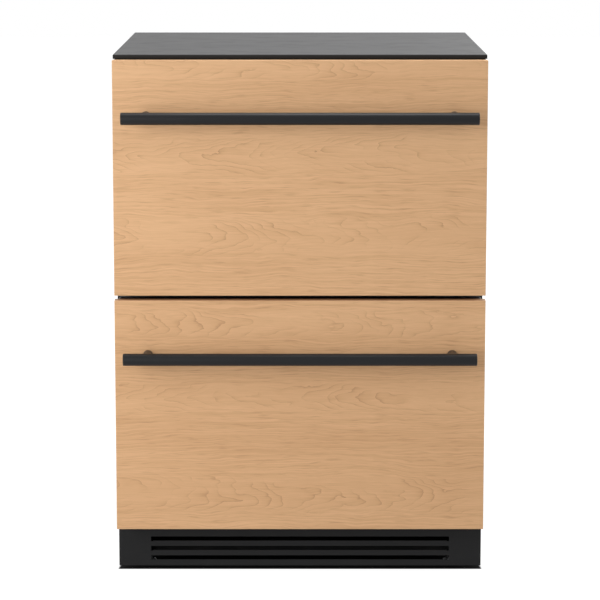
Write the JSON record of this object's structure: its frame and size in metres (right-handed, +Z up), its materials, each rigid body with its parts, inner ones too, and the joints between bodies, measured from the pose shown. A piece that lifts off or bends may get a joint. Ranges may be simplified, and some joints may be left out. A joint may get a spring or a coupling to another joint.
{
  "type": "undercounter drawer refrigerator",
  "caption": "Built-in undercounter refrigerator with insulated slide-out drawers behind flat wooden panels, round bar handles, a metal top and a slotted kick plate.",
  "frame": {"origin": "on the floor, under the middle of the whole object with its handles", "axes": "+X to the right seen from the front, +Y from the handles to the back, +Z up"},
  "size_m": [0.606, 0.665, 0.864],
  "materials": {
    "maple": "clear satin lacquer",
    "grey_paint": "satin",
    "black_paint": "satin",
    "handle_black": "satin",
    "zinc": "satin",
    "slide_steel": "polished",
    "white_plastic": "satin",
    "bin_plastic": "gloss",
    "foam": "rigid closed-cell foam",
    "black_plastic": "matte",
    "control_plastic": "gloss",
    "light_diffuser": "satin",
    "compressor_black": "gloss",
    "black_rubber": "matte",
    "gasket_grey": "matte",
    "coil_aluminium": "satin",
    "copper": "satin",
    "fan_plastic": "satin",
    "motor_grey": "satin"
  },
  "bodies": {
    "cabinet": {"side_panel_left": "black_paint", "side_panel_right": "black_paint", "top_panel": "grey_paint", "back_panel": "zinc", "rear_cover": "black_paint", "base_pan": "black_paint", "bottom_plate": "zinc", "front_frame": "black_paint", "mullion_rail": "black_plastic", "inner_liner": "white_plastic", "insulation": "foam", "kick_grille": "black_paint", "compressor": "compressor_black", "compressor_grommets": "black_rubber", "drain_pan": "white_plastic", "condenser_coil": "coil_aluminium", "fan_shroud": "black_plastic", "condenser_fan_motor": "motor_grey", "refrigerant_lines": "copper", "evaporator_coil": "coil_aluminium", "evaporator_cover": "white_plastic", "evaporator_fan_motor": "motor_grey", "drip_trough": "white_plastic", "control_module": "control_plastic", "light_bars": "light_diffuser", "cord_gland": "black_rubber", "upper_slide_outers": "slide_steel", "lower_slide_outers": "slide_steel"},
    "condenser_fan": {"condenser_fan_blades": "fan_plastic"},
    "evaporator_fan": {"evaporator_fan_blades": "fan_plastic"},
    "leg_front_left": {"leg_front_left": "zinc"},
    "leg_front_right": {"leg_front_right": "zinc"},
    "leg_rear_left": {"leg_rear_left": "zinc"},
    "leg_rear_right": {"leg_rear_right": "zinc"},
    "upper_middles": {"upper_slide_middles": "slide_steel"},
    "upper_drawer": {"upper_slide_inners": "slide_steel", "upper_panel": "maple", "upper_handle_bar": "handle_black", "upper_handle_posts": "handle_black", "upper_front_pan": "black_paint", "upper_front_core": "foam", "upper_front_liner": "white_plastic", "upper_gasket": "gasket_grey", "upper_bin": "bin_plastic", "upper_drawer_frame": "zinc"},
    "upper_outer_cages": {"upper_outer_cages": "slide_steel"},
    "upper_inner_cages": {"upper_inner_cages": "slide_steel"},
    "lower_middles": {"lower_slide_middles": "slide_steel"},
    "lower_drawer": {"lower_slide_inners": "slide_steel", "lower_panel": "maple", "lower_handle_bar": "handle_black", "lower_handle_posts": "handle_black", "lower_front_pan": "black_paint", "lower_front_core": "foam", "lower_front_liner": "white_plastic", "lower_gasket": "gasket_grey", "lower_bin": "bin_plastic", "lower_drawer_frame": "zinc"},
    "lower_outer_cages": {"lower_outer_cages": "slide_steel"},
    "lower_inner_cages": {"lower_inner_cages": "slide_steel"}
  },
  "joints": [
    {"name": "upper_drawer_slide", "type": "slide", "parent": "cabinet", "child": "upper_drawer", "axis": [0, -1, 0], "range_m": [0, 0.4]},
    {"name": "upper_middles_slide", "type": "slide", "parent": "cabinet", "child": "upper_middles", "axis": [0, -1, 0], "range_m": [0, 0.2]},
    {"name": "upper_outer_cages_slide", "type": "slide", "parent": "cabinet", "child": "upper_outer_cages", "axis": [0, -1, 0], "range_m": [0, 0.1]},
    {"name": "upper_inner_cages_slide", "type": "slide", "parent": "cabinet", "child": "upper_inner_cages", "axis": [0, -1, 0], "range_m": [0, 0.3]},
    {"name": "lower_drawer_slide", "type": "slide", "parent": "cabinet", "child": "lower_drawer", "axis": [0, -1, 0], "range_m": [0, 0.4]},
    {"name": "lower_middles_slide", "type": "slide", "parent": "cabinet", "child": "lower_middles", "axis": [0, -1, 0], "range_m": [0, 0.2]},
    {"name": "lower_outer_cages_slide", "type": "slide", "parent": "cabinet", "child": "lower_outer_cages", "axis": [0, -1, 0], "range_m": [0, 0.1]},
    {"name": "lower_inner_cages_slide", "type": "slide", "parent": "cabinet", "child": "lower_inner_cages", "axis": [0, -1, 0], "range_m": [0, 0.3]},
    {"name": "condenser_fan_spin", "type": "hinge", "parent": "cabinet", "child": "condenser_fan", "pos_m": [0.16, 0.2075, 0.126], "axis": [0, 1, 0], "continuous": true},
    {"name": "evaporator_fan_spin", "type": "hinge", "parent": "cabinet", "child": "evaporator_fan", "pos_m": [0, 0.258, 0.632], "axis": [0, 1, 0], "continuous": true},
    {"name": "leg_front_left_screw", "type": "slide", "parent": "cabinet", "child": "leg_front_left", "axis": [0, 0, -1], "range_m": [0, 0.02]},
    {"name": "leg_front_right_screw", "type": "slide", "parent": "cabinet", "child": "leg_front_right", "axis": [0, 0, -1], "range_m": [0, 0.02]},
    {"name": "leg_rear_left_screw", "type": "slide", "parent": "cabinet", "child": "leg_rear_left", "axis": [0, 0, -1], "range_m": [0, 0.02]},
    {"name": "leg_rear_right_screw", "type": "slide", "parent": "cabinet", "child": "leg_rear_right", "axis": [0, 0, -1], "range_m": [0, 0.02]}
  ],
  "couplings": [
    {"joint": "upper_middles_slide", "follows": "upper_drawer_slide", "ratio": 0.5},
    {"joint": "upper_outer_cages_slide", "follows": "upper_drawer_slide", "ratio": 0.25},
    {"joint": "upper_inner_cages_slide", "follows": "upper_drawer_slide", "ratio": 0.75},
    {"joint": "lower_middles_slide", "follows": "lower_drawer_slide", "ratio": 0.5},
    {"joint": "lower_outer_cages_slide", "follows": "lower_drawer_slide", "ratio": 0.25},
    {"joint": "lower_inner_cages_slide", "follows": "lower_drawer_slide", "ratio": 0.75}
  ]
}
